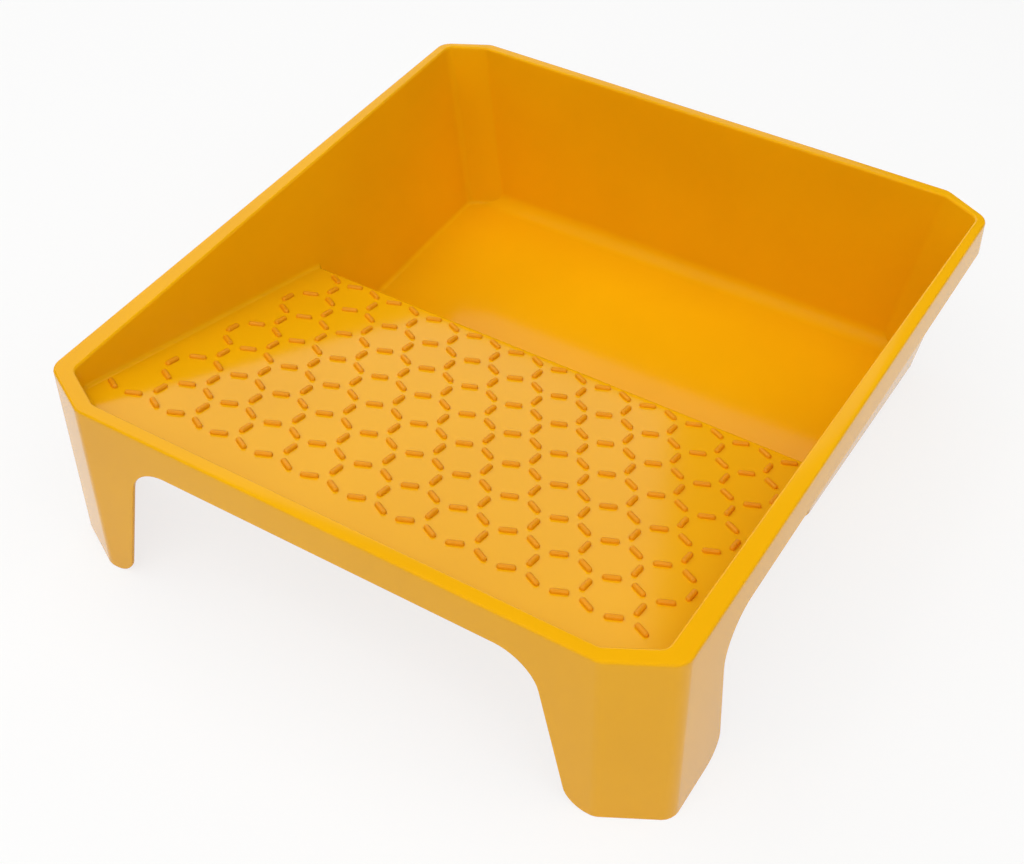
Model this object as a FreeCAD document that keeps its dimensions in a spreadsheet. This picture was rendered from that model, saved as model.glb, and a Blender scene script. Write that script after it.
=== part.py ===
import FreeCAD, Part
import Sketcher
import math
import os
import re

# Paint roller tray, injection moulded in one shot. Millimetres, +Z up, the tray stands on z = 0.
# +Y points to the deep well at the back, -Y to the two legs at the front, x = 0 is the plane of symmetry.
# The moulding is divided into its walls, plates, rim, skirt, legs and ribs, which meet face to face.

doc = FreeCAD.newDocument("roller_tray")

# ---------------------------------------------------------------- driving dimensions
sizes = doc.addObject("Spreadsheet::Sheet", "Sizes")
driving = [
    ("width_front", 317.4, "over the rim at the legs"),
    ("width_back", 322.6, "over the rim behind the well"),
    ("length", 348.0, "over the rim, front to back"),
    ("height", 101.0, "table to top of rim"),
    ("wall", 2.0, "pan walls, floor, ramp and step"),
    ("skirt_wall", 2.0, "skirt and legs"),
    ("rim_thick", 2.0, "flat flange round the top"),
    ("rim_side_front", 10.6, "flange width beside the ramp's front end"),
    ("rim_side_back", 4.9, "flange width beside the back wall"),
    ("rim_front", 7.0, "flange width at the front"),
    ("rim_back", 5.6, "flange width at the back"),
    ("chamfer_front_across", 28.9, "rim corner cut at the legs, along X"),
    ("chamfer_front_along", 15.5, "rim corner cut at the legs, along Y"),
    ("chamfer_back_across", 25.0, "rim corner cut at the back, along X"),
    ("chamfer_back_along", 12.9, "rim corner cut at the back, along Y"),
    ("facet_front_across", 22.0, "corner facet inside the pan, front, along X"),
    ("facet_front_along", 12.0, "corner facet inside the pan, front, along Y"),
    ("facet_back_across", 19.5, "corner facet inside the pan, back, along X"),
    ("facet_back_along", 9.2, "corner facet inside the pan, back, along Y"),
    ("side_draft", 8.6, "lean of the side walls, degrees"),
    ("end_draft", 3.75, "lean of the front and back walls, degrees"),
    ("flare", 1.4, "outward lean of skirt and legs, degrees"),
    ("skirt_depth", 18.9, "rim top to skirt's lower edge"),
    ("well_length", 161.7, "ridge of the ramp to the back of the rim"),
    ("ridge_depth", 53.8, "rim top to the ridge"),
    ("lip_depth", 8.6, "rim top to the ramp's front end"),
    ("step_draft", 12.0, "lean of the step under the ridge, degrees"),
    ("cove", 9.0, "radius between back wall and floor"),
    ("leg_front_top", 58.2, "front face of a leg at the skirt's edge, from the side"),
    ("leg_front_foot", 39.5, "front face of a leg at the table, from the side"),
    ("leg_side_top", 50.0, "side face of a leg at the skirt's edge, from the front"),
    ("leg_side_foot", 56.0, "side face of a leg at the table, from the front"),
    ("leg_fillet", 21.0, "radius from skirt edge into leg"),
    ("foot_round", 12.0, "radius of a leg's lower corners"),
    ("rib_pitch", 24.7, "honeycomb pitch across the ramp"),
    ("rib_row", 21.8, "honeycomb row spacing down the ramp"),
    ("rib_start_across", 8.0, "first rib of the first row, from the centre"),
    ("rib_start_down", 6.8, "first row of ribs, from the ridge"),
    ("rib_length", 8.0, "one rib at its foot"),
    ("rib_width", 2.6, "one rib at its foot"),
    ("rib_height", 1.5, "one rib above the ramp"),
    ("rib_draft", 0.4, "how far a rib's sides lean in over its height"),
    ("rib_edge", 1.5, "least distance from a rib to the ridge and the side walls"),
    ("rib_front", 10.0, "least distance from a rib to the front wall"),
]
for row, (alias, value, note) in enumerate(driving, 1):
    sizes.set(f"A{row}", alias)
    sizes.set(f"B{row}", str(value))
    sizes.setAlias(f"B{row}", alias)
    sizes.set(f"C{row}", note)

# ---------------------------------------------------------------- what follows from them
worked = doc.addObject("Spreadsheet::Sheet", "Worked")
following = [
    ("skirt_edge", "height - skirt_depth"),
    # the feet lean out further than the back skirt: half of that keeps the origin under the middle
    ("shift", "skirt_edge * tan(flare * 1 deg) / 2"),
    ("front_reach", "length / 2 - shift"),
    ("back_reach", "length / 2 + shift"),
    ("depth", "height - wall"),
    ("flange_under", "height - rim_thick"),
    # outer rim outline: half width in the middle, and how fast it widens towards the back
    ("rim_slope", "(width_back - width_front) / 2 / length"),
    ("rim_half", "(width_front + width_back) / 4 - rim_slope * shift"),
    # mouth of the pan
    ("mouth_half", "rim_half - (rim_side_front + rim_side_back) / 2"),
    ("mouth_slope", "rim_slope + (rim_side_front - rim_side_back) / length"),
    ("mouth_front", "front_reach - rim_front"),
    ("mouth_back", "back_reach - rim_back"),
    # how far the draft and the flare move a face over the full depth or height
    ("side_lean", "depth * tan(side_draft * 1 deg)"),
    ("end_lean", "depth * tan(end_draft * 1 deg)"),
    ("side_lean_out", "height * tan(side_draft * 1 deg)"),
    ("end_lean_out", "height * tan(end_draft * 1 deg)"),
    ("flare_out", "height * tan(flare * 1 deg)"),
    # level thickness of a leaning wall
    ("side_wall", "wall / cos(side_draft * 1 deg)"),
    ("end_wall", "wall / cos(end_draft * 1 deg)"),
    # ramp and step
    ("ridge_y", "back_reach - well_length"),
    ("ridge_z", "height - ridge_depth"),
    ("ramp_tan", "(ridge_depth - lip_depth) / (ridge_y + mouth_front)"),
    ("ramp_cos", "1 / sqrt(1 + ramp_tan * ramp_tan)"),
    ("ramp_drop", "wall / ramp_cos"),
    ("step_tan", "tan(step_draft * 1 deg)"),
    ("step_drop", "wall / cos(step_draft * 1 deg)"),
    ("foot_y", "ridge_y + (ridge_z - wall) * step_tan"),
    ("under_foot_y", "foot_y + wall * step_tan - step_drop"),
    ("under_ridge_z", "(ridge_z - ramp_drop + (step_drop - ridge_z * step_tan) * ramp_tan)"
                      " / (1 - step_tan * ramp_tan)"),
    ("under_ridge_y", "ridge_y + (ridge_z - under_ridge_z) * step_tan - step_drop"),
    # ramp top and underside, carried past the front of the rim
    ("beyond", "length"),
    ("ramp_front_z", "ridge_z + (ridge_y + beyond) * ramp_tan"),
    ("under_front_z", "ramp_front_z - ramp_drop"),
    # where the walls are divided from the corners and the skirt from the legs
    ("corner_front_x", "mouth_half - mouth_slope * mouth_front - facet_front_across - side_lean"),
    ("corner_back_x", "mouth_half + mouth_slope * mouth_back - facet_back_across - side_lean"),
    ("corner_front_y", "mouth_front - facet_front_along - end_lean"),
    ("corner_back_y", "mouth_back - facet_back_along - end_lean"),
    ("leg_half", "width_front / 2"),
    # room beside a leg for the fillet above it, which turns the edge through up to about 95 degrees
    ("fillet_run", "1.4 * leg_fillet"),
    ("leg_front_x", "leg_half - leg_front_top - fillet_run"),
    ("leg_side_y", "-front_reach + leg_side_top + fillet_run"),
]

home = {entry[0]: "Sizes" for entry in driving} | {entry[0]: "Worked" for entry in following}


def named(formula):
    """Put the right sheet's name before each alias of a formula."""
    return re.sub(r"[a-z_]+", lambda word: f"{home[word[0]]}.{word[0]}" if word[0] in home else word[0], formula)


for row, (alias, formula) in enumerate(following, 1):
    worked.set(f"A{row}", alias)
    worked.set(f"B{row}", "=" + named(formula).replace("Worked.", ""))
    worked.setAlias(f"B{row}", alias)
doc.recompute()


def bind(thing, path, formula):
    thing.setExpression(path, named(formula))


def value(formula):
    """A formula's number at the sheet's present sizes."""
    return float(sizes.evalExpression(named(formula)))


def plane(body, role):
    return next(feature for feature in body.Origin.OriginFeatures if feature.Role == role)


def outline(body, name, role, corners, level="0"):
    """A closed sketch of straight lines, each corner a pair of formulas, held at a level above its plane."""
    sketch = body.newObject("Sketcher::SketchObject", name)
    sketch.AttachmentSupport = [(plane(body, role), "")]
    sketch.MapMode = "FlatFace"
    bind(sketch, "AttachmentOffset.Base.z", level)
    points = [FreeCAD.Vector(value(across), value(up), 0) for across, up in corners]
    for k, point in enumerate(points):
        sketch.addGeometry(Part.LineSegment(point, points[(k + 1) % len(points)]))
    for k in range(len(points)):
        sketch.addConstraint(Sketcher.Constraint("Coincident", k, 2, (k + 1) % len(points), 1))
    for k, corner in enumerate(corners):
        for kind, letter, formula, spot in (("DistanceX", "x", corner[0], points[k].x),
                                            ("DistanceY", "y", corner[1], points[k].y)):
            index = sketch.addConstraint(Sketcher.Constraint(kind, -1, 1, k, 1, spot))
            sketch.renameConstraint(index, f"{letter}{k + 1}")
            bind(sketch, f"Constraints.{letter}{k + 1}", formula)
    return sketch


def tray_outline(half, slope, front, back, across, along):
    """Eight corners of a rim-shaped outline: it widens by slope towards the back and its corners are cut."""
    right = [(f"{half} - {slope} * ({front}) - {across[0]}", f"-({front})"),
             (f"{half} - {slope} * ({front} - {along[0]})", f"-({front}) + {along[0]}"),
             (f"{half} + {slope} * ({back} - {along[1]})", f"{back} - {along[1]}"),
             (f"{half} + {slope} * ({back}) - {across[1]}", f"{back}")]
    left = [(f"-({x})", y) for x, y in reversed(right)]
    return right + left


def grown(across, along, wall):
    """The corner cut of an outline that lies one wall outside (or, with a minus, inside) the given one."""
    spare = f"({wall}) * ({across} + {along} - sqrt({across} ^ 2 + {along} ^ 2))"
    return f"({across} + {spare} / {along})", f"({along} + {spare} / {across})"


def loft(name, low, high):
    """A body between two outlines, each given as (corners, level)."""
    body = doc.addObject("PartDesign::Body", name)
    bottom = outline(body, name + "_bottom", "XY_Plane", *low)
    top = outline(body, name + "_top", "XY_Plane", *high)
    feature = body.newObject("PartDesign::AdditiveLoft", name + "_loft")
    feature.Profile = bottom
    feature.Sections = [top]
    feature.Ruled = True
    return body


def prism(name, role, corners, reach="4 * length"):
    """A body padded both ways from a sketch on one of its origin planes."""
    body = doc.addObject("PartDesign::Body", name)
    pad = body.newObject("PartDesign::Pad", name + "_pad")
    pad.Profile = outline(body, name + "_outline", role, corners)
    pad.SideType = "Symmetric"
    bind(pad, "Length", reach)
    return body


def block(name, low, high):
    """A box between two corners given as formulas."""
    box = doc.addObject("Part::Box", name)
    for axis, size, a, b in zip("xyz", ("Length", "Width", "Height"), low, high):
        bind(box, f"Placement.Base.{axis}", a)
        bind(box, size, f"({b}) - ({a})")
    return box


def common(name, *shapes):
    result = doc.addObject("Part::MultiCommon", name)
    result.Shapes = list(shapes)
    return result


def cut(name, base, tool):
    result = doc.addObject("Part::Cut", name)
    result.Base = base
    result.Tool = tool
    return result


def mirrored(name, source):
    """The same piece on the other side of x = 0."""
    result = doc.addObject("Part::Mirroring", name)
    result.Source = source
    result.Normal = (1, 0, 0)
    return result


nodes = {}


def keep(name, piece):
    piece.Label = name
    nodes[name] = piece
    return piece


# ---------------------------------------------------------------- the pan's cavity and its outer skin
front_facet = ("facet_front_across", "facet_front_along")
back_facet = ("facet_back_across", "facet_back_along")
facets = (("facet_front_across", "facet_back_across"), ("facet_front_along", "facet_back_along"))
cavity = loft("cavity",
              (tray_outline("(mouth_half - side_lean)", "mouth_slope", "(mouth_front - end_lean)",
                            "(mouth_back - end_lean)", *facets), "wall"),
              (tray_outline("mouth_half", "mouth_slope", "mouth_front", "mouth_back", *facets), "height"))
front_skin = grown(*front_facet, "wall")
back_skin = grown(*back_facet, "wall")
skins = ((front_skin[0], back_skin[0]), (front_skin[1], back_skin[1]))
pan = loft("pan",
           (tray_outline("(mouth_half + side_wall - side_lean_out)", "mouth_slope",
                         "(mouth_front + end_wall - end_lean_out)",
                         "(mouth_back + end_wall - end_lean_out)", *skins), "0"),
           (tray_outline("(mouth_half + side_wall)", "mouth_slope", "(mouth_front + end_wall)",
                         "(mouth_back + end_wall)", *skins), "height"))

# ---------------------------------------------------------------- floor, step and ramp
ridge = ("ridge_y", "ridge_z")
under_ridge = ("under_ridge_y", "under_ridge_z")
foot = ("foot_y", "wall")
under_foot = ("under_foot_y", "0")
ramp_slab = prism("ramp_slab", "YZ_Plane",
                  [("-beyond", "ramp_front_z"), ridge, under_ridge, ("-beyond", "under_front_z")])
step_slab = prism("step_slab", "YZ_Plane", [ridge, foot, under_foot, under_ridge])
floor_slab = prism("floor_slab", "YZ_Plane", [foot, ("beyond", "wall"), ("beyond", "0"), under_foot])
below = prism("below", "YZ_Plane", [("-beyond", "ramp_front_z"), ridge, foot, ("beyond", "wall"),
                                    ("beyond", "-wall"), ("-beyond", "-wall")])
under_flange = block("under_flange", ("-beyond", "-beyond", "-wall"), ("beyond", "beyond", "flange_under"))
keep("ramp", common("ramp_plate", pan, ramp_slab, under_flange))
keep("ramp_step", common("step_plate", pan, step_slab))
keep("well_floor", common("floor_plate", pan, floor_slab))

# ---------------------------------------------------------------- walls standing on them
ring = cut("wall_ring", cut("pan_walls", common("pan_under_flange", pan, under_flange), cavity), below)
corner_back = block("corner_back", ("corner_back_x", "corner_back_y", "-wall"),
                    ("4 * beyond", "beyond", "height"))
corner_front = block("corner_front", ("corner_front_x", "-beyond", "-wall"),
                     ("4 * beyond", "-corner_front_y", "height"))
ramp_side = block("ramp_side", ("corner_front_x", "-corner_front_y", "-wall"), ("4 * beyond", "ridge_y", "height"))
well_side = block("well_side", ("corner_front_x", "ridge_y", "-wall"), ("4 * beyond", "corner_back_y", "height"))
back_middle = block("back_middle", ("-corner_back_x", "corner_back_y", "-wall"),
                    ("corner_back_x", "beyond", "height"))
front_middle = block("front_middle", ("-corner_front_x", "-beyond", "-wall"),
                     ("corner_front_x", "-corner_front_y", "height"))
keep("back_wall", common("back_wall_plate", ring, back_middle))
keep("front_wall", common("front_wall_plate", ring, front_middle))
for side_name, region in (("ramp_wall", ramp_side), ("well_wall", well_side),
                          ("back_corner", corner_back), ("front_corner", corner_front)):
    right = keep(f"right_{side_name}", common(f"{side_name}_plate", ring, region))
    keep(f"left_{side_name}", mirrored(f"{side_name}_mirrored", right))

# a round cove fills the corner between back wall and floor, from facet to facet
back_cove = doc.addObject("PartDesign::Body", "cove_strip")
cove_sketch = back_cove.newObject("Sketcher::SketchObject", "cove_section")
cove_sketch.AttachmentSupport = [(plane(back_cove, "YZ_Plane"), "")]
cove_sketch.MapMode = "FlatFace"
cove_radius = value("cove")
corner = FreeCAD.Vector(value("mouth_back - end_lean"), value("wall"), 0)
lean_angle = math.radians(value("end_draft"))
reach = cove_radius * math.tan((math.pi / 2 - lean_angle) / 2)
on_floor = corner - FreeCAD.Vector(reach, 0, 0)
on_wall = corner + FreeCAD.Vector(math.sin(lean_angle), math.cos(lean_angle), 0) * reach
centre = on_floor + FreeCAD.Vector(0, cove_radius, 0)
cove_sketch.addGeometry(Part.LineSegment(corner, on_floor))
cove_sketch.addGeometry(Part.LineSegment(on_wall, corner))
cove_sketch.addGeometry(Part.ArcOfCircle(Part.Circle(centre, FreeCAD.Vector(0, 0, 1), cove_radius),
                                         -math.pi / 2, -lean_angle))
for constraint in (("Coincident", 1, 2, 0, 1), ("Horizontal", 0), ("Tangent", 0, 2, 2, 1), ("Tangent", 2, 2, 1, 1)):
    cove_sketch.addConstraint(Sketcher.Constraint(*constraint))
for label, constraint, formula in (
        ("corner_y", ("DistanceX", -1, 1, 0, 1, corner.x), "mouth_back - end_lean"),
        ("corner_z", ("DistanceY", -1, 1, 0, 1, corner.y), "wall"),
        ("radius", ("Radius", 2, cove_radius), "cove"),
        ("lean", ("Angle", 0, 1, 1, 2, -math.pi / 2 - lean_angle), "-(90 + end_draft) * 1 deg")):
    index = cove_sketch.addConstraint(Sketcher.Constraint(*constraint))
    cove_sketch.renameConstraint(index, label)
    bind(cove_sketch, f"Constraints.{label}", formula)
cove_pad = back_cove.newObject("PartDesign::Pad", "cove_pad")
cove_pad.Profile = cove_sketch
cove_pad.SideType = "Symmetric"
bind(cove_pad, "Length", "2 * corner_back_x")
keep("back_cove", back_cove)

# ---------------------------------------------------------------- rim flange and the skirt's two skins
cuts = (("chamfer_front_across", "chamfer_back_across"), ("chamfer_front_along", "chamfer_back_along"))
skirt_skin = loft("skirt_skin",
                  (tray_outline("(rim_half + flare_out)", "rim_slope", "(front_reach + flare_out)",
                                "(back_reach + flare_out)", *cuts), "0"),
                  (tray_outline("rim_half", "rim_slope", "front_reach", "back_reach", *cuts), "height"))
front_hollow = grown("chamfer_front_across", "chamfer_front_along", "-skirt_wall")
back_hollow = grown("chamfer_back_across", "chamfer_back_along", "-skirt_wall")
hollows = ((front_hollow[0], back_hollow[0]), (front_hollow[1], back_hollow[1]))
skirt_hollow = loft("skirt_hollow",
                    (tray_outline("(rim_half + flare_out - skirt_wall)", "rim_slope",
                                  "(front_reach + flare_out - skirt_wall)",
                                  "(back_reach + flare_out - skirt_wall)", *hollows), "0"),
                    (tray_outline("(rim_half - skirt_wall)", "rim_slope", "(front_reach - skirt_wall)",
                                  "(back_reach - skirt_wall)", *hollows), "height"))
flange_slice = block("flange_slice", ("-4 * beyond", "-beyond", "flange_under"),
                     ("4 * beyond", "beyond", "height + wall"))
flange = cut("flange", common("flange_plate", skirt_skin, flange_slice), cavity)
rim_side = block("rim_side", ("0", "-corner_front_y", "0"), ("4 * beyond", "corner_back_y", "2 * height"))
rim_front_part = block("rim_front_part", ("-4 * beyond", "-beyond", "0"),
                       ("4 * beyond", "-corner_front_y", "2 * height"))
rim_back_part = block("rim_back_part", ("-4 * beyond", "corner_back_y", "0"),
                      ("4 * beyond", "beyond", "2 * height"))
keep("front_rim", common("front_rim_flange", flange, rim_front_part))
keep("back_rim", common("back_rim_flange", flange, rim_back_part))
keep("left_rim", mirrored("left_rim_flange", keep("right_rim", common("right_rim_flange", flange, rim_side))))

# ---------------------------------------------------------------- skirt and legs
shell = cut("skirt_shell", cut("skirt_tube", skirt_skin, skirt_hollow), pan)
skirt_band = ("skirt_edge", "flange_under")
front_band = block("front_band", ("-leg_front_x", "-beyond", skirt_band[0]), ("leg_front_x", "0", skirt_band[1]))
side_band = block("side_band", ("0", "leg_side_y", skirt_band[0]), ("4 * beyond", "corner_back_y", skirt_band[1]))
back_band = block("back_band", ("-4 * beyond", "corner_back_y", skirt_band[0]),
                  ("4 * beyond", "beyond", skirt_band[1]))
keep("front_skirt", common("front_skirt_strip", shell, front_band))
keep("back_skirt", common("back_skirt_strip", shell, back_band))
keep("left_skirt", mirrored("left_skirt_strip", keep("right_skirt", common("right_skirt_strip", shell, side_band))))


def round_corner(body, name, axis, corner, radius):
    """Fillet the edge of a padded outline that runs through one of its corners."""
    doc.recompute()
    across, level = (value(part) for part in corner)
    edge = next(f"Edge{k + 1}" for k, item in enumerate(body.Shape.Edges)
                if abs(getattr(item.CenterOfMass, axis) - across) < 0.01
                and abs(item.CenterOfMass.z - level) < 0.01)
    base = body.Tip
    fillet = body.newObject("PartDesign::Fillet", name)
    fillet.Base = (base, [edge])
    bind(fillet, "Radius", radius)


def leg_profile(name, role, axis, split, top, toe, outside):
    """One face of a leg and the skirt beside it: a fillet under the skirt and a rounded corner at the table."""
    body = prism(name, role, [(split, "flange_under"), (split, "skirt_edge"), (top, "skirt_edge"),
                              (toe, "0"), (outside, "0"), (outside, "flange_under")])
    round_corner(body, f"{name}_fillet", axis, (top, "skirt_edge"), "leg_fillet")
    round_corner(body, f"{name}_round", axis, (toe, "0"), "foot_round")
    return body


leg_front = leg_profile("leg_front", "XZ_Plane", "x", "leg_front_x", "leg_half - leg_front_top",
                        "leg_half - leg_front_foot", "2 * beyond")
leg_side = leg_profile("leg_side", "YZ_Plane", "y", "leg_side_y", "leg_side_top - front_reach",
                       "leg_side_foot - front_reach", "-2 * beyond")
leg_wrap = common("leg_wrap", shell, leg_front, leg_side)
cut_x = "leg_half - chamfer_front_across"
cut_y = "chamfer_front_along - front_reach"
panels = [common(f"leg_{panel_name}_panel", leg_wrap, block(f"leg_{panel_name}_region", low, high))
          for panel_name, low, high in (("front", ("0", "-2 * beyond", "-wall"), (cut_x, "0", "height")),
                                        ("corner", (cut_x, "-2 * beyond", "-wall"), ("2 * beyond", cut_y, "height")),
                                        ("side", (cut_x, cut_y, "-wall"), ("2 * beyond", "2 * beyond", "height")))]
right_leg = doc.addObject("Part::Compound", "right_leg_panels")
right_leg.Links = panels
keep("left_leg", mirrored("left_leg_panels", keep("right_leg", right_leg)))
doc.recompute()

# ---------------------------------------------------------------- ribs on the ramp
# The edges of a honeycomb, each a short rib that stops before the corners it would share. Places are
# counted on the ramp: across it from the centre line, and down from the ridge towards the front.
ramp_angle = math.atan(value("ramp_tan"))
ramp_length = (value("ridge_y") + value("mouth_front")) / math.cos(ramp_angle)
pitch, row_step = value("rib_pitch"), value("rib_row")
rib_length, rib_width = value("rib_length"), value("rib_width")
lean = value("rib_draft")
rib_shape = Part.makeWedge(-rib_length / 2, 0, -rib_width / 2, lean - rib_width / 2, lean - rib_length / 2,
                           rib_length / 2, value("rib_height"), rib_width / 2, rib_width / 2 - lean,
                           rib_length / 2 - lean)
rib_shape.rotate(FreeCAD.Vector(0, 0, 0), FreeCAD.Vector(1, 0, 0), 90)
slant = math.degrees(math.atan2(pitch / 2, row_step))
on_ramp = FreeCAD.Placement(FreeCAD.Vector(0, value("ridge_y"), value("ridge_z")),
                            FreeCAD.Rotation(FreeCAD.Vector(1, 0, 0), -math.degrees(ramp_angle)))


def room_for(across, down, turn):
    """Whether a rib at this place stays clear of the ridge, the front wall, the side walls and the facets."""
    half = rib_length / 2
    along = half * abs(math.sin(math.radians(turn))) + rib_width / 2
    aside = half * abs(math.cos(math.radians(turn))) + rib_width / 2
    if down - along < value("rib_edge") or down + along > ramp_length - value("rib_front"):
        return False
    front = down + along
    y = value("ridge_y") - front * math.cos(ramp_angle)
    drop = value("ridge_depth") - front * math.sin(ramp_angle)
    wall_x = value("mouth_half") + value("mouth_slope") * y - drop * math.tan(math.radians(value("side_draft")))
    to_front = y + value("mouth_front")
    if to_front < value("facet_front_along"):
        wall_x -= value("facet_front_across") * (1 - to_front / value("facet_front_along"))
    return abs(across) + aside < wall_x - value("rib_edge")


ribs = []
columns = math.ceil(value("width_back") / pitch)
for line in range(math.ceil(ramp_length / row_step) + 1):
    down = value("rib_start_down") + line * row_step
    for column in range(-columns, columns + 1):
        across = value("rib_start_across") + pitch * (column + line % 2 / 2)
        for x, d, turn in ((across, down, slant), (across - pitch / 2, down, -slant),
                           (across - pitch / 4, down + row_step / 2, 90)):
            if room_for(x, d, turn):
                rib = rib_shape.copy()
                rib.rotate(FreeCAD.Vector(0, 0, 0), FreeCAD.Vector(0, 0, 1), turn)
                rib.translate(FreeCAD.Vector(x, -d, 0))
                ribs.append(rib.transformed(on_ramp.toMatrix()))
rib_group = doc.addObject("Part::Feature", "rib_group")
rib_group.Shape = Part.makeCompound(ribs)
keep("ramp_ribs", rib_group)

# ---------------------------------------------------------------- checks, then one file per node
doc.recompute()
for item in doc.Objects:
    bad = [state for state in item.State if state in ("Invalid", "Error")]
    if bad:
        raise RuntimeError(f"{item.Name} is {bad}")
os.makedirs("parts", exist_ok=True)
for name, piece in nodes.items():
    shape = piece.Shape
    if shape.isNull() or not shape.isValid() or not shape.Solids:
        raise RuntimeError(f"{name} has no valid solid")
    shape.exportStep(f"parts/{name}.step")
    box = shape.BoundBox
    print(f"{name}: {len(shape.Solids)} solid(s), {shape.Volume / 1000:.2f} cm3, "
          f"{box.XLength:.1f} x {box.YLength:.1f} x {box.ZLength:.1f} mm")
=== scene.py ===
import math
import bmesh
import bpy
from mathutils import Matrix, Vector

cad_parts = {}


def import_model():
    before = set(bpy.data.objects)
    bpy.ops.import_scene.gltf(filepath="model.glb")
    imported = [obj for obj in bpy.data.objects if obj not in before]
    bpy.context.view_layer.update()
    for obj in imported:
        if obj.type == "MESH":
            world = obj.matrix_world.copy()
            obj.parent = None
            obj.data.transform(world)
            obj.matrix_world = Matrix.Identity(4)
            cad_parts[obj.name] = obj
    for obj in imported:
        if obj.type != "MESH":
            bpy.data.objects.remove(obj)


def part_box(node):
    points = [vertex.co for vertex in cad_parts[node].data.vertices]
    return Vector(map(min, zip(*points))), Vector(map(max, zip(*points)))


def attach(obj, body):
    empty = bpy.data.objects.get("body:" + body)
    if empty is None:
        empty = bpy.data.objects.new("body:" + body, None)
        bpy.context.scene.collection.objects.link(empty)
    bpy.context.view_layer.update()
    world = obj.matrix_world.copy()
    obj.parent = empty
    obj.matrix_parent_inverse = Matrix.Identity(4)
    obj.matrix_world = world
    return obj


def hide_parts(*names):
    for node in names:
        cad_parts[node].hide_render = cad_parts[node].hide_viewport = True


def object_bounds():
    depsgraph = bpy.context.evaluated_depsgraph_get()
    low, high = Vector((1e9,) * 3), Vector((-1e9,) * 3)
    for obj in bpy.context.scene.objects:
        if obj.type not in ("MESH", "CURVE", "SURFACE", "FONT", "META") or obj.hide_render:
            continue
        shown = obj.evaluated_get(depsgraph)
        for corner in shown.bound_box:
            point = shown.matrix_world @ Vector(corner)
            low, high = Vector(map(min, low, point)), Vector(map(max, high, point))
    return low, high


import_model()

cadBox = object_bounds()
mm = 0.001
near = 1e-6       # two places closer than this are one
sameCut = 1e-7    # the same for a vertex that lies in a cutting plane

# what the whole moulding shares; places come off the frame, the rest is in metres and radians
tray = {
    "top": cadBox[1].z,
    "halfFront": 158.7 * mm,
    "halfBack": 161.3 * mm,
    "wall": 2.0 * mm,
    "chamferFront": (28.9 * mm, 15.5 * mm),   # cut corners of the rim: across, along
    "chamferBack": (25.0 * mm, 12.9 * mm),
    "facetFront": (22.0 * mm, 12.0 * mm),     # cut corners inside the pan
    "facetBack": (19.5 * mm, 9.2 * mm),
    "flangeFront": 7.0 * mm,
    "flangeBack": 5.6 * mm,
    "flangeSide": (10.6 * mm, 4.9 * mm),      # beside the front end, beside the back end
    "sideDraft": math.radians(8.6),
    "endDraft": math.radians(3.75),
    "flare": math.radians(1.4),
    "wellLength": 161.7 * mm,                 # from the back of the rim to the ridge
    "rampLip": 8.6 * mm,                      # from the rim down to the ramp's front edge
    "stepDraft": math.radians(12.0),
    "outerRound": 8.0 * mm,
    "facetRound": 5.0 * mm,
    "insideSetback": 2.0 * mm,                # how far the fillets in the pan reach along each face
    "rimRound": 1.1 * mm,
    "edgeRound": 0.6 * mm,
}
leg = {
    "frontTop": 58.2 * mm, "frontFoot": 39.5 * mm,     # width of the front face, at the skirt and the table
    "sideTop": 50.0 * mm, "sideFoot": 56.0 * mm,
    "fillet": 21.0 * mm, "footRound": 12.0 * mm,
}
lean = tray["wall"] * math.tan(tray["flare"])
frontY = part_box("front_rim")[0].y + lean
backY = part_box("back_rim")[1].y - lean
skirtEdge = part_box("back_skirt")[0].z
ridgeY, ridgeZ = backY - tray["wellLength"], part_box("ramp_step")[1].z
mouthFrontY = frontY + tray["flangeFront"]
mouthBackY = backY - tray["flangeBack"]
print("frame", round(frontY, 5), round(backY, 5), round(skirtEdge, 5), round(ridgeY, 5), round(ridgeZ, 5))


# ---- outlines, seen from above
def line(atFront, atBack):
    slope = (atBack - atFront) / (backY - frontY)
    return lambda y: atFront + slope * (y - frontY)


rimHalf = line(tray["halfFront"], tray["halfBack"])
mouthHalf = line(tray["halfFront"] - tray["flangeSide"][0], tray["halfBack"] - tray["flangeSide"][1])


def trayOutline(bm, z, half, inset, startY, endY, cutFront, cutBack, radius):
    # a rim-shaped face whose eight corners are rounded; inset moves its long sides towards the middle
    right = [
        (half(startY) - cutFront[0], startY),
        (half(startY + cutFront[1]), startY + cutFront[1]),
        (half(endY - cutBack[1]), endY - cutBack[1]),
        (half(endY) - cutBack[0], endY),
    ]
    points = [(x - inset, y) for x, y in right] + [(inset - x, y) for x, y in reversed(right)]
    before = set(bm.verts)
    corners = [bm.verts.new((x, y, z)) for x, y in points]
    bm.faces.new(corners)
    turns = []
    for k, corner in enumerate(corners):
        arriving = corner.co - corners[k - 1].co
        leaving = corners[(k + 1) % len(corners)].co - corner.co
        turns.append(arriving.angle(leaving))
    for corner, turn in zip(corners, turns):
        roundCorner(bm, corner, radius, turn, 4)
    fresh = next(v for v in bm.verts if v not in before)
    return fresh.link_faces[0]


def roundCorner(bm, corner, radius, turn, segments):
    bmesh.ops.bevel(bm, geom=[corner], offset=radius * math.tan(turn / 2), segments=segments,
                    profile=0.5, affect="VERTICES", clamp_overlap=False, material=-1)


def bridge(bm, first, second):
    bmesh.ops.bridge_loops(bm, edges=list(first.edges) + list(second.edges))


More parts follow.
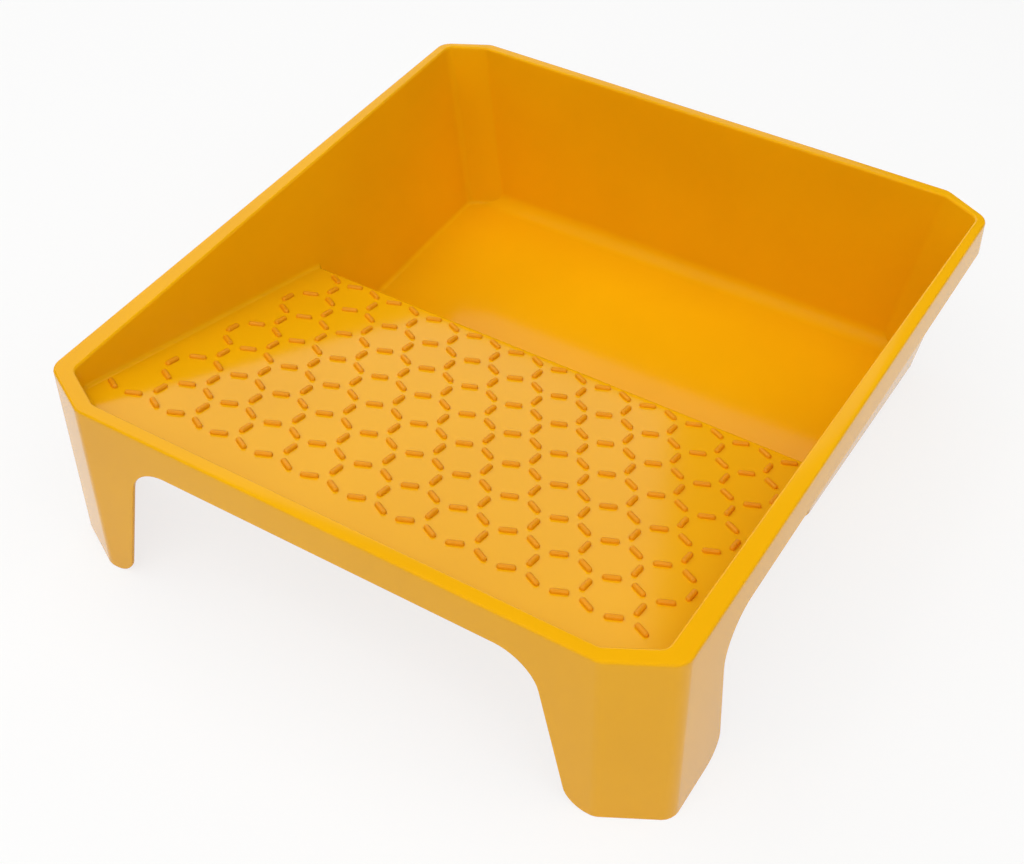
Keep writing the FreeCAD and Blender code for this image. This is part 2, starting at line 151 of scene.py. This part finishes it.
# ---- the inside of the pan: walls, well floor, step and ramp as one sheet
rampRise = (tray["top"] - tray["rampLip"] - ridgeZ) / (ridgeY - mouthFrontY)
rampNormal = Vector((0, rampRise, 1)).normalized()
stepNormal = Vector((0, 1, math.tan(tray["stepDraft"]))).normalized()
ridge = Vector((0, ridgeY, ridgeZ))
depth = tray["top"] - tray["wall"]
sideLean = depth * math.tan(tray["sideDraft"])
endLean = depth * math.tan(tray["endDraft"])


def isOver(point, normal, spot):
    return (spot - point).dot(normal)


def allGeometry(bm):
    return bm.verts[:] + bm.edges[:] + bm.faces[:]


def fillPlane(bm, point, normal, edges):
    flat = [e for e in edges if all(abs(isOver(point, normal, v.co)) < near for v in e.verts)]
    return bmesh.ops.contextual_create(bm, geom=flat)["faces"]


def bevelEdges(bm, edges, offset, segments):
    bmesh.ops.bevel(bm, geom=edges, offset=offset, segments=segments, profile=0.5,
                    affect="EDGES", clamp_overlap=False, material=-1)


flatAngle = math.radians(0.2)    # faces that meet flatter than this are one
panCrease = math.radians(30)     # edges of the pan sharper than this get a fillet
rimCrease = math.radians(50)     # the same for the rim and the skirt's edge
legCrease = math.radians(40)     # corners of the skirt's outline that turn more than this are rounded


def sharpEdges(bm, angle):
    return [e for e in bm.edges if len(e.link_faces) == 2 and e.calc_face_angle() > angle]


def buildPan(bm):
    facets = (tray["facetFront"], tray["facetBack"], tray["facetRound"])
    mouth = trayOutline(bm, tray["top"], mouthHalf, 0, mouthFrontY, mouthBackY, *facets)
    floor = trayOutline(bm, tray["wall"], mouthHalf, sideLean,
                        mouthFrontY + endLean, mouthBackY - endLean, *facets)
    bridge(bm, mouth, floor)
    bmesh.ops.delete(bm, geom=[mouth], context="FACES_ONLY")
    for normal in (rampNormal, stepNormal):
        bmesh.ops.bisect_plane(bm, geom=allGeometry(bm), dist=sameCut, plane_co=ridge, plane_no=normal)
    # what is left below both planes belongs to the hollow under the ramp
    hidden = []
    for face in bm.faces:
        middle = face.calc_center_median()
        if all(isOver(ridge, normal, middle) < -near for normal in (rampNormal, stepNormal)):
            hidden.append(face)
    bmesh.ops.delete(bm, geom=hidden, context="FACES")
    bmesh.ops.dissolve_limit(bm, angle_limit=flatAngle, verts=bm.verts[:], edges=bm.edges[:])
    crest = bm.edges.new([v for v in bm.verts if (v.co.yz - ridge.yz).length < near])
    openEdges = [e for e in bm.edges if e.is_boundary or e is crest]
    fillPlane(bm, ridge, rampNormal, openEdges)
    fillPlane(bm, ridge, stepNormal, openEdges)
    bmesh.ops.recalc_face_normals(bm, faces=bm.faces[:])
    bevelEdges(bm, sharpEdges(bm, panCrease), tray["insideSetback"], 4)


# ---- rim and skirt, with the two legs that the skirt runs down into
def buildSkirt(bm):
    chamfers = (tray["chamferFront"], tray["chamferBack"], tray["outerRound"])
    mouthEdges = [e for e in bm.edges if e.is_boundary]
    flareOut = tray["top"] * math.tan(tray["flare"])
    rim = trayOutline(bm, tray["top"], rimHalf, 0, frontY, backY, *chamfers)
    table = trayOutline(bm, 0, rimHalf, -flareOut, frontY - flareOut, backY + flareOut, *chamfers)
    rimEdges, tableEdges = list(rim.edges), list(table.edges)
    bmesh.ops.delete(bm, geom=[rim, table], context="FACES_ONLY")
    bmesh.ops.bridge_loops(bm, edges=mouthEdges + rimEdges)
    skirt = bmesh.ops.bridge_loops(bm, edges=rimEdges + tableEdges)["faces"]

    frontX = tray["halfFront"] - leg["frontTop"], tray["halfFront"] - leg["frontFoot"]
    sideY = frontY + leg["sideTop"], frontY + leg["sideFoot"]
    down = Vector((0, 0, -1))
    across = Vector((frontX[1] - frontX[0], 0, -skirtEdge))
    along = Vector((0, sideY[1] - sideY[0], -skirtEdge))
    frontLine = Vector((across.z, 0, -across.x)).normalized()
    sideLine = Vector((0, along.z, -along.y)).normalized()
    edgePoint = Vector((0, 0, skirtEdge))

    def slice(point, normal, low):
        # cut only the skirt's faces below its edge
        faces = [f for f in bm.faces if f.calc_center_median().z < low and abs(f.normal.z) < 0.5
                 and max(v.co.z for v in f.verts) < low + near and isOutside(f)]
        geometry = set(faces) | {e for f in faces for e in f.edges} | {v for f in faces for v in f.verts}
        bmesh.ops.bisect_plane(bm, geom=list(geometry), dist=sameCut, plane_co=point, plane_no=normal)

    def isOutside(face):
        middle = face.calc_center_median()
        return abs(middle.x) > mouthHalf(middle.y) or not mouthFrontY < middle.y < mouthBackY

    geometry = set(skirt) | {e for f in skirt for e in f.edges} | {v for f in skirt for v in f.verts}
    bmesh.ops.bisect_plane(bm, geom=list(geometry), dist=sameCut, plane_co=edgePoint, plane_no=down)
    for sign in (1, -1):
        mirrored = Vector((sign * frontLine.x, 0, frontLine.z))
        slice(Vector((sign * frontX[0], 0, skirtEdge)), mirrored, skirtEdge)
    slice(Vector((0, sideY[0], skirtEdge)), sideLine, skirtEdge)

    def isLeg(middle):
        t = (skirtEdge - middle.z) / skirtEdge
        inner = frontX[0] + (frontX[1] - frontX[0]) * t
        rear = sideY[0] + (sideY[1] - sideY[0]) * t
        return abs(middle.x) > inner and middle.y < rear

    spare = [f for f in bm.faces if f.calc_center_median().z < skirtEdge and isOutside(f)
             and not isLeg(f.calc_center_median())]
    bmesh.ops.delete(bm, geom=spare, context="FACES")
    seam = [e for e in bm.edges if len(e.link_faces) == 2 and all(isOutside(f) for f in e.link_faces)]
    seam = [e for e in seam if all(abs(v.co.z - skirtEdge) < near for v in e.verts)]
    bmesh.ops.dissolve_edges(bm, edges=seam, use_verts=False)
    passing = [v for v in bm.verts if len(v.link_edges) == 2 and len(v.link_faces) == 2]
    bmesh.ops.dissolve_verts(bm, verts=passing)

    corners = []
    for vert in bm.verts:
        if len(vert.link_faces) != 1 or vert.co.z > skirtEdge + near:
            continue
        first, second = (e.other_vert(vert).co - vert.co for e in vert.link_edges)
        turn = math.pi - first.angle(second)
        if turn > legCrease:
            corners.append((vert, turn))
    print("leg corners", len(corners))
    for vert, turn in corners:
        radius = leg["fillet"] if vert.co.z > skirtEdge / 2 else leg["footRound"]
        roundCorner(bm, vert, radius, turn, 10)


def tempObject(bm, name):
    mesh = bpy.data.meshes.new(name)
    bm.to_mesh(mesh)
    thing = bpy.data.objects.new(name, mesh)
    bpy.context.scene.collection.objects.link(thing)
    return thing


def buildShell():
    bm = bmesh.new()
    buildPan(bm)
    buildSkirt(bm)
    bmesh.ops.recalc_face_normals(bm, faces=bm.faces[:])
    floor = max((f for f in bm.faces if abs(f.normal.z) > 0.999 and f.calc_center_median().z < ridgeZ / 2),
                key=lambda f: f.calc_area())
    if floor.normal.z < 0:
        bmesh.ops.reverse_faces(bm, faces=bm.faces[:])
    sheet = tempObject(bm, "sheet")
    bm.free()
    thicken = sheet.modifiers.new("wall", "SOLIDIFY")
    thicken.solidify_mode = "NON_MANIFOLD"
    thicken.nonmanifold_thickness_mode = "FIXED"
    thicken.thickness = tray["wall"]
    thicken.offset = -1
    solid = bpy.data.meshes.new_from_object(sheet.evaluated_get(bpy.context.evaluated_depsgraph_get()))
    bpy.data.objects.remove(sheet)
    bm = bmesh.new()
    bm.from_mesh(solid)
    bpy.data.meshes.remove(solid)
    top = [e for e in sharpEdges(bm, rimCrease) if all(v.co.z > tray["top"] - near for v in e.verts)]
    bevelEdges(bm, top, tray["rimRound"], 3)
    underRim = tray["top"] - 1.5 * tray["wall"]
    low = [e for e in sharpEdges(bm, rimCrease) if all(v.co.z < underRim for v in e.verts)]
    bevelEdges(bm, low, tray["edgeRound"], 2)
    for vert in bm.verts:
        vert.co.z = min(vert.co.z, tray["top"])
    print("shell", len(bm.verts), len(bm.faces), "open", sum(e.is_boundary for e in bm.edges),
          "bad", sum(not e.is_manifold for e in bm.edges))
    return bm


# ---- finish: glossy moulded plastic
def newGroup(name, inputs, outputs):
    group = bpy.data.node_groups.new(name, "ShaderNodeTree")
    for label, kind, start in inputs:
        socket = group.interface.new_socket(name=label, in_out="INPUT", socket_type=kind)
        if start is not None:
            socket.default_value = start
    for label, kind in outputs:
        group.interface.new_socket(name=label, in_out="OUTPUT", socket_type=kind)
    return group, group.nodes.new("NodeGroupInput"), group.nodes.new("NodeGroupOutput")


def addNode(tree, kind, **settings):
    node = tree.nodes.new(kind)
    for key, setting in settings.items():
        setattr(node, key, setting)
    return node


def mouldTexture():
    # slow tone drift of the pigment and the fine skin of the mould
    group, given, result = newGroup(
        "mouldTexture",
        [("Color", "NodeSocketColor", (0.8, 0.3, 0.01, 1)), ("Drift", "NodeSocketFloat", 0.1),
         ("Grain Size", "NodeSocketFloat", 900.0)],
        [("Color", "NodeSocketColor"), ("Roughness Mask", "NodeSocketFloat"), ("Height", "NodeSocketFloat")])
    place = addNode(group, "ShaderNodeTexCoord")
    slow = addNode(group, "ShaderNodeTexNoise")
    slow.inputs["Scale"].default_value = 9.0
    slow.inputs["Detail"].default_value = 3.0
    fine = addNode(group, "ShaderNodeTexNoise")
    fine.inputs["Detail"].default_value = 2.0
    spread = addNode(group, "ShaderNodeMapRange")
    spread.inputs["From Min"].default_value = 0.3
    spread.inputs["From Max"].default_value = 0.7
    spread.inputs["To Min"].default_value = 0.0
    dark = addNode(group, "ShaderNodeMix", data_type="RGBA", blend_type="MULTIPLY")
    dark.inputs["B"].default_value = (0.86, 0.80, 0.6, 1)    # where there is more pigment
    link = group.links.new
    link(place.outputs["Object"], slow.inputs["Vector"])
    link(place.outputs["Object"], fine.inputs["Vector"])
    link(given.outputs["Grain Size"], fine.inputs["Scale"])
    link(slow.outputs["Fac"], spread.inputs["Value"])
    link(given.outputs["Drift"], spread.inputs["To Max"])
    link(spread.outputs["Result"], dark.inputs["Factor"])
    link(given.outputs["Color"], dark.inputs["A"])
    link(dark.outputs["Result"], result.inputs["Color"])
    link(slow.outputs["Fac"], result.inputs["Roughness Mask"])
    link(fine.outputs["Fac"], result.inputs["Height"])
    return group


moulding = {
    "color": (0.88, 0.435, 0.002, 1), "roughness": (0.08, 0.14), "specular": 0.25,
    "drift": 0.5, "grain": 0.12, "grainDepth": 0.02 * mm,
}
ribShadedFinish = {**moulding, "color": (0.80, 0.31, 0.002, 1), "roughness": (0.36, 0.46)}    # duller, and a darker copy of the moulding colour that paints shade onto the ribs


def plastic(name, finish):
    material = bpy.data.materials.new(name)
    material.use_nodes = True
    tree = material.node_tree
    tree.nodes.clear()
    texture = addNode(tree, "ShaderNodeGroup", node_tree=mouldGroup)
    texture.inputs["Color"].default_value = finish["color"]
    texture.inputs["Drift"].default_value = finish["drift"]
    shader = addNode(tree, "ShaderNodeBsdfPrincipled")
    shader.inputs["IOR"].default_value = 1.5
    shader.inputs["Specular IOR Level"].default_value = finish["specular"]
    rough = addNode(tree, "ShaderNodeMapRange")
    rough.inputs["To Min"].default_value, rough.inputs["To Max"].default_value = finish["roughness"]
    bump = addNode(tree, "ShaderNodeBump")
    bump.inputs["Strength"].default_value = finish["grain"]
    bump.inputs["Distance"].default_value = finish["grainDepth"]
    output = addNode(tree, "ShaderNodeOutputMaterial")
    link = tree.links.new
    link(texture.outputs["Color"], shader.inputs["Base Color"])
    link(texture.outputs["Roughness Mask"], rough.inputs["Value"])
    link(rough.outputs["Result"], shader.inputs["Roughness"])
    link(texture.outputs["Height"], bump.inputs["Height"])
    link(bump.outputs["Normal"], shader.inputs["Normal"])
    link(shader.outputs["BSDF"], output.inputs["Surface"])
    return material


mouldGroup = mouldTexture()
glossPlastic = plastic("glossPlastic", moulding)
# the ribs' material is the same plastic in a darker colour: painted shade
ribShadedPlastic = plastic("ribShadedPlastic", ribShadedFinish)


# ---- pieces cut from the one moulding
def finishPiece(bm, name, nodes, material, smooth=35):
    mesh = bpy.data.meshes.new(name)
    bm.to_mesh(mesh)
    bm.free()
    mesh.materials.append(material)
    mesh.shade_smooth()
    mesh.set_sharp_from_angle(angle=math.radians(smooth))
    piece = bpy.data.objects.new(name, mesh)
    bpy.context.scene.collection.objects.link(piece)
    even = piece.modifiers.new("evenNormals", "WEIGHTED_NORMAL")
    even.keep_sharp = True
    even.weight = 100
    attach(piece, "root")
    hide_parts(*nodes)
    return piece


def above(z):
    return Vector((0, 0, z)), Vector((0, 0, 1))


def below(z):
    return Vector((0, 0, z)), Vector((0, 0, -1))


def rightOf(x):
    return Vector((x, 0, 0)), Vector((1, 0, 0))


def leftOf(x):
    return Vector((x, 0, 0)), Vector((-1, 0, 0))


def behind(y):
    return Vector((0, y, 0)), Vector((0, 1, 0))


def before(y):
    return Vector((0, y, 0)), Vector((0, -1, 0))


def trim(source, sides):
    # keep what lies on the inner side of every plane and close each cut
    part = source.copy()
    for point, normal in sides:
        cutGeometry = bmesh.ops.bisect_plane(part, geom=allGeometry(part), dist=sameCut, plane_co=point,
                                             plane_no=normal, clear_inner=True)["geom_cut"]
        edges = [e for e in cutGeometry if isinstance(e, bmesh.types.BMEdge)]
        if edges:
            bmesh.ops.triangle_fill(part, edges=edges, use_beauty=True, use_dissolve=False, normal=-normal)
        gaps = [e for e in part.edges if e.is_boundary]
        if gaps:
            bmesh.ops.holes_fill(part, edges=gaps, sides=0)
    bmesh.ops.recalc_face_normals(part, faces=part.faces[:])
    return part


def islandWith(source, chosen):
    # the connected part that holds the vertex for which chosen is largest
    part = source.copy()
    part.verts.ensure_lookup_table()
    start = max(part.verts, key=chosen)
    found, edge = {start}, [start]
    while edge:
        vert = edge.pop()
        for other in (e.other_vert(vert) for e in vert.link_edges):
            if other not in found:
                found.add(other)
                edge.append(other)
    bmesh.ops.delete(part, geom=[v for v in part.verts if v not in found], context="VERTS")
    return part


# places of the flat cuts between pieces
joints = {
    "underRim": tray["top"] - tray["wall"] - 0.6 * mm,
    "rimFront": frontY + 24 * mm, "rimBack": backY - 20 * mm,     # clear of the cut corners
    "facetFrontX": 117 * mm, "facetFrontY": mouthFrontY + 18 * mm,
    "facetBackX": 117 * mm, "facetBackY": mouthBackY - 20 * mm,
    "aboveRamp": 3.5 * mm, "aboveFloor": 5.0 * mm,
    "beforeRidge": ridgeY - 4 * mm, "behindStep": ridgeY + 14 * mm,     # clear of the step's fillets
    "legX": 80 * mm, "legY": -97 * mm, "legTop": skirtEdge + 2.4 * mm,
}
shell = buildShell()
rimPart = trim(shell, [above(joints["underRim"])])
lower = trim(shell, [below(joints["underRim"])])
skirtPart = islandWith(lower, lambda v: v.co.x + v.co.y)
panPart = islandWith(lower, lambda v: -v.co.length)
overRamp = ridge + Vector((0, 0, joints["aboveRamp"])), rampNormal
underRamp = overRamp[0], -rampNormal
j = joints
cuts = {
    "frontRim": (rimPart, ["front_rim"], [before(j["rimFront"])]),
    "backRim": (rimPart, ["back_rim"], [behind(j["rimBack"])]),
    "frontSkirt": (skirtPart, ["front_skirt"], [before(j["legY"]), leftOf(j["legX"]), rightOf(-j["legX"])]),
    "backSkirt": (skirtPart, ["back_skirt"], [behind(j["rimBack"])]),
    "rampPlate": (panPart, ["ramp"], [underRamp, before(j["beforeRidge"])]),
    "rampStep": (panPart, ["ramp_step"], [underRamp, behind(j["beforeRidge"]), before(j["behindStep"])]),
    "wellFloor": (panPart, ["well_floor"], [below(j["aboveFloor"]), behind(j["behindStep"])]),
    "frontWall": (panPart, ["front_wall"], [overRamp, before(j["facetFrontY"]), leftOf(j["facetFrontX"]),
                                            rightOf(-j["facetFrontX"])]),
    "backWall": (panPart, ["back_wall"], [above(j["aboveFloor"]), behind(j["facetBackY"]),
                                          leftOf(j["facetBackX"]), rightOf(-j["facetBackX"])]),
}
for side, outer in (("left", leftOf), ("right", rightOf)):
    sign = 1 if side == "right" else -1
    cuts[side + "Rim"] = (rimPart, [side + "_rim"], [behind(j["rimFront"]), before(j["rimBack"]), outer(0)])
    cuts[side + "Skirt"] = (skirtPart, [side + "_skirt"], [behind(j["legY"]), before(j["rimBack"]), outer(0)])
    cuts[side + "SkirtCorner"] = (skirtPart, [side + "_skirt"], [before(j["legY"]), outer(sign * j["legX"]),
                                                                 above(j["legTop"])])
    cuts[side + "Leg"] = (skirtPart, [side + "_leg"], [before(j["legY"]), outer(sign * j["legX"]),
                                                       below(j["legTop"]), above(0)])
    cuts[side + "RampWall"] = (panPart, [side + "_ramp_wall"], [outer(0), overRamp, behind(j["facetFrontY"]),
                                                                before(j["behindStep"])])
    cuts[side + "WellWall"] = (panPart, [side + "_well_wall"], [outer(0), above(j["aboveFloor"]),
                                                                behind(j["behindStep"]),
                                                                before(j["facetBackY"])])
    cuts[side + "FrontCorner"] = (panPart, [side + "_front_corner"], [overRamp, before(j["facetFrontY"]),
                                                                      outer(sign * j["facetFrontX"])])
    cuts[side + "BackCorner"] = (panPart, [side + "_back_corner"], [above(j["aboveFloor"]),
                                                                    behind(j["facetBackY"]),
                                                                    outer(sign * j["facetBackX"])])
for name, (source, nodes, sides) in cuts.items():
    part = trim(source, sides)
    print("piece", name, len(part.faces), "open", sum(not e.is_manifold for e in part.edges))
    finishPiece(part, name, nodes, glossPlastic)


# ---- the round cove along the foot of the back wall
cove = {
    "radius": 9.0 * mm, "segments": 14,
    "sunk": 0.6 * mm, "tuck": 0.2 * mm, "skin": 0.02 * mm,
    "overrun": 30 * mm, "endSunk": 0.8 * mm,
}


def buildCove():
    bm = bmesh.new()
    floorY = mouthBackY - endLean
    reach = cove["radius"] * math.tan((math.pi / 2 - tray["endDraft"]) / 2)
    start = Vector((-joints["facetBackX"] - cove["overrun"], floorY - reach, tray["wall"] - cove["skin"]))
    first = bm.verts.new(start)
    centre = start + Vector((0, 0, cove["radius"]))
    bmesh.ops.spin(bm, geom=[first], cent=centre, axis=(1, 0, 0), angle=math.pi / 2 - tray["endDraft"],
                   steps=cove["segments"])
    bm.verts.ensure_lookup_table()
    chain = sorted(bm.verts, key=lambda v: v.co.z)
    low, high = chain[0], chain[-1]
    # the back of the section lies inside the floor and the wall, a little in from the round's two ends
    deep = bm.verts.new((start.x, low.co.y + cove["tuck"], low.co.z - cove["sunk"]))
    corner = bm.verts.new((start.x, high.co.y + cove["sunk"], low.co.z - cove["sunk"]))
    up = bm.verts.new((start.x, high.co.y + cove["sunk"], high.co.z - cove["tuck"]))
    bm.faces.new([*chain, up, corner, deep])
    grown = bmesh.ops.extrude_face_region(bm, geom=bm.faces[:])["geom"]
    farEnd = [v for v in grown if isinstance(v, bmesh.types.BMVert)]
    bmesh.ops.translate(bm, verts=farEnd, vec=(-2 * start.x, 0, 0))
    bmesh.ops.recalc_face_normals(bm, faces=bm.faces[:])
    ends = []
    for sign in (1, -1):
        cut = tray["facetBack"]
        corner = Vector((sign * (mouthHalf(mouthBackY) - cut[0] - sideLean), floorY, tray["wall"]))
        upper = Vector((sign * (mouthHalf(mouthBackY) - cut[0]), mouthBackY, tray["top"]))
        along = Vector((sign * cut[0], -cut[1], 0))
        inward = along.cross(upper - corner).normalized()
        if inward.x * sign > 0:
            inward = -inward
        ends.append((corner - inward * cove["endSunk"], inward))
    part = trim(bm, ends)
    print("piece backCove", len(part.faces), "open", sum(not e.is_manifold for e in part.edges))
    finishPiece(part, "backCove", ["back_cove"], glossPlastic)


buildCove()


# ---- ribs on the ramp: the edges of a honeycomb, each a short rounded bar
ribs = {
    "pitch": 24.7 * mm, "row": 21.8 * mm,
    "startAcross": 8.0 * mm, "startDown": 6.8 * mm,      # first rib, from the centre line and from the ridge
    "length": 8.0 * mm, "width": 2.6 * mm, "height": 1.5 * mm, "sunk": 0.4 * mm,
    "cornerRound": 1.1 * mm, "topRound": 0.9 * mm,
    "clearEdge": 1.5 * mm, "clearFront": 10.0 * mm,
}
rampAngle = math.atan(rampRise)
rampLength = (ridgeY - mouthFrontY) / math.cos(rampAngle)


def hasRoom(across, down, turn):
    # a rib stays clear of the ridge, the front wall, the side walls and the facets
    along = ribs["length"] / 2 * abs(math.sin(turn)) + ribs["width"] / 2
    aside = ribs["length"] / 2 * abs(math.cos(turn)) + ribs["width"] / 2
    front = down + along
    if down - along < ribs["clearEdge"] or front > rampLength - ribs["clearFront"]:
        return False
    y = ridgeY - front * math.cos(rampAngle)
    drop = tray["top"] - ridgeZ - front * math.sin(rampAngle)
    wallX = mouthHalf(y) - drop * math.tan(tray["sideDraft"])
    toFront = y - mouthFrontY
    if toFront < tray["facetFront"][1]:
        wallX -= tray["facetFront"][0] * (1 - toFront / tray["facetFront"][1])
    return abs(across) + aside < wallX - ribs["clearEdge"]


def ribMesh():
    bm = bmesh.new()
    size = Matrix.Diagonal((ribs["length"], ribs["width"], ribs["height"] + ribs["sunk"], 1))
    lift = Matrix.Translation((0, 0, (ribs["height"] - ribs["sunk"]) / 2))
    bmesh.ops.create_cube(bm, size=1, matrix=lift @ size)
    upright = [e for e in bm.edges if abs(e.verts[0].co.z - e.verts[1].co.z) > ribs["sunk"]]
    bevelEdges(bm, upright, ribs["cornerRound"], 3)
    crown = [e for e in bm.edges if all(v.co.z > ribs["height"] - near for v in e.verts)]
    bevelEdges(bm, crown, ribs["topRound"], 2)
    return bm


def buildRibs():
    bm = bmesh.new()
    single = bpy.data.meshes.new("singleRib")
    one = ribMesh()
    one.to_mesh(single)
    print("rib faces", len(one.faces))
    one.free()
    onRamp = Matrix.Translation(ridge) @ Matrix.Rotation(-rampAngle, 4, "X")
    slant = math.atan2(ribs["pitch"] / 2, ribs["row"])
    columns = math.ceil(2 * tray["halfBack"] / ribs["pitch"])
    count = 0
    for row in range(math.ceil(rampLength / ribs["row"]) + 1):
        down = ribs["startDown"] + row * ribs["row"]
        for column in range(-columns, columns + 1):
            across = ribs["startAcross"] + ribs["pitch"] * (column + row % 2 / 2)
            for x, d, turn in ((across, down, slant), (across - ribs["pitch"] / 2, down, -slant),
                               (across - ribs["pitch"] / 4, down + ribs["row"] / 2, math.pi / 2)):
                if hasRoom(x, d, turn):
                    known = len(bm.verts)
                    bm.from_mesh(single)
                    bm.verts.ensure_lookup_table()
                    place = onRamp @ Matrix.Translation((x, -d, 0)) @ Matrix.Rotation(turn, 4, "Z")
                    bmesh.ops.transform(bm, matrix=place, verts=bm.verts[known:])
                    count += 1
    bpy.data.meshes.remove(single)
    print("ribs", count, "faces", len(bm.faces))
    finishPiece(bm, "rampRibs", ["ramp_ribs"], ribShadedPlastic, 50)


buildRibs()


# ---- studio: floor, light and camera
studio = {
    "floor": 12.0, "floorColor": (0.85, 0.85, 0.84, 1), "whiteShare": 0.78,
    "ceiling": 0.10,
    # bearings are degrees from straight behind the tray, towards the right; radiance 1 shows as white
    "softbox": {"azimuth": -42.0, "height": 30.0, "distance": 1.8, "size": (1.7, 1.35), "radiance": 1.0},
    "frontFill": {"azimuth": 180.0, "height": 50.0, "distance": 1.8, "size": (1.6, 1.6), "radiance": 2.0},
    "rightFill": {"azimuth": 95.0, "height": 50.0, "distance": 1.8, "size": (1.6, 1.6), "radiance": 1.8},
    "leftFill": {"azimuth": -95.0, "height": 50.0, "distance": 1.8, "size": (1.6, 1.6), "radiance": 1.2},
    "overhead": {"azimuth": 0.0, "height": 88.0, "distance": 1.8, "size": (1.6, 1.6), "radiance": 0.6},
}


def lamp(name, spec, shine):
    data = bpy.data.lights.new(name, "AREA")
    data.shape = "RECTANGLE"
    data.size, data.size_y = spec["size"]
    data.energy = spec["radiance"] * math.pi * spec["size"][0] * spec["size"][1]
    light = bpy.data.objects.new(name, data)
    bpy.context.scene.collection.objects.link(light)
    azimuth, height = math.radians(spec["azimuth"]), math.radians(spec["height"])
    direction = Vector((math.sin(azimuth) * math.cos(height), math.cos(azimuth) * math.cos(height),
                        math.sin(height)))
    target = Vector((0, 0, ridgeZ))
    light.location = target + direction * spec["distance"]
    light.rotation_euler = direction.to_track_quat("Z", "Y").to_euler()
    light.visible_glossy = shine
    light.visible_camera = False


def seenDirectly(tree):
    path = addNode(tree, "ShaderNodeLightPath")
    first = addNode(tree, "ShaderNodeMath", operation="ADD", use_clamp=True)
    second = addNode(tree, "ShaderNodeMath", operation="ADD", use_clamp=True)
    tree.links.new(path.outputs["Is Camera Ray"], first.inputs[0])
    tree.links.new(path.outputs["Is Transmission Ray"], first.inputs[1])
    tree.links.new(first.outputs[0], second.inputs[0])
    tree.links.new(path.outputs["Is Glossy Ray"], second.inputs[1])
    return first, second


def buildFloor():
    bm = bmesh.new()
    bmesh.ops.create_grid(bm, x_segments=1, y_segments=1, size=studio["floor"] / 2)
    mesh = bpy.data.meshes.new("studioFloor")
    bm.to_mesh(mesh)
    bm.free()
    floor = bpy.data.objects.new("studioFloor", mesh)
    bpy.context.scene.collection.objects.link(floor)
    material = bpy.data.materials.new("studioFloor")
    material.use_nodes = True
    tree = material.node_tree
    tree.nodes.clear()
    matt = addNode(tree, "ShaderNodeBsdfDiffuse")
    matt.inputs["Color"].default_value = studio["floorColor"]
    white = addNode(tree, "ShaderNodeEmission")
    white.inputs["Strength"].default_value = 1.0
    share = addNode(tree, "ShaderNodeMath", operation="MULTIPLY")
    share.inputs[1].default_value = studio["whiteShare"]
    mix = addNode(tree, "ShaderNodeMixShader")
    output = addNode(tree, "ShaderNodeOutputMaterial")
    tree.links.new(seenDirectly(tree)[1].outputs[0], share.inputs[0])
    tree.links.new(share.outputs[0], mix.inputs[0])
    tree.links.new(matt.outputs[0], mix.inputs[1])
    tree.links.new(white.outputs[0], mix.inputs[2])
    tree.links.new(mix.outputs[0], output.inputs["Surface"])
    mesh.materials.append(material)


def buildWorld():
    world = bpy.data.worlds.new("studio")
    bpy.context.scene.world = world
    world.use_nodes = True
    tree = world.node_tree
    tree.nodes.clear()
    place = addNode(tree, "ShaderNodeTexCoord")
    parts = addNode(tree, "ShaderNodeSeparateXYZ")
    fade = addNode(tree, "ShaderNodeMapRange", interpolation_type="SMOOTHSTEP")
    fade.inputs["From Min"].default_value = 0.02
    fade.inputs["From Max"].default_value = 0.2
    fade.inputs["To Min"].default_value = 1.0
    fade.inputs["To Max"].default_value = studio["ceiling"]
    strength = addNode(tree, "ShaderNodeMix", data_type="FLOAT")
    strength.inputs["B"].default_value = 1.0
    background = addNode(tree, "ShaderNodeBackground")
    output = addNode(tree, "ShaderNodeOutputWorld")
    tree.links.new(place.outputs["Generated"], parts.inputs[0])
    tree.links.new(parts.outputs["Z"], fade.inputs["Value"])
    tree.links.new(seenDirectly(tree)[0].outputs[0], strength.inputs["Factor"])
    tree.links.new(fade.outputs["Result"], strength.inputs["A"])
    tree.links.new(strength.outputs["Result"], background.inputs["Strength"])
    tree.links.new(background.outputs[0], output.inputs["Surface"])


view = {
    "place": Vector((0.28566, -0.47940, 0.55937)),
    "forward": Vector((-0.37335, 0.60235, -0.70554)),
    "up": Vector((-0.36551, 0.60350, 0.70866)),
    "lens": 53.99, "shift": (-0.00642, 0.00570),
}


def buildCamera():
    data = bpy.data.cameras.new("camera")
    data.lens = view["lens"]
    data.sensor_width = 36
    data.shift_x, data.shift_y = view["shift"]
    data.clip_start = 0.01
    camera = bpy.data.objects.new("camera", data)
    bpy.context.scene.collection.objects.link(camera)
    back = -view["forward"].normalized()
    right = view["up"].cross(back).normalized()
    turn = Matrix((right, back.cross(right), back)).transposed()
    camera.matrix_world = Matrix.Translation(view["place"]) @ turn.to_4x4()
    bpy.context.scene.camera = camera


buildFloor()
buildWorld()
for lampName in ("softbox", "frontFill", "rightFill", "leftFill", "overhead"):
    lamp(lampName, studio[lampName], lampName == "softbox")
buildCamera()
bpy.context.scene.view_settings.view_transform = "Standard"
print("studio ready")
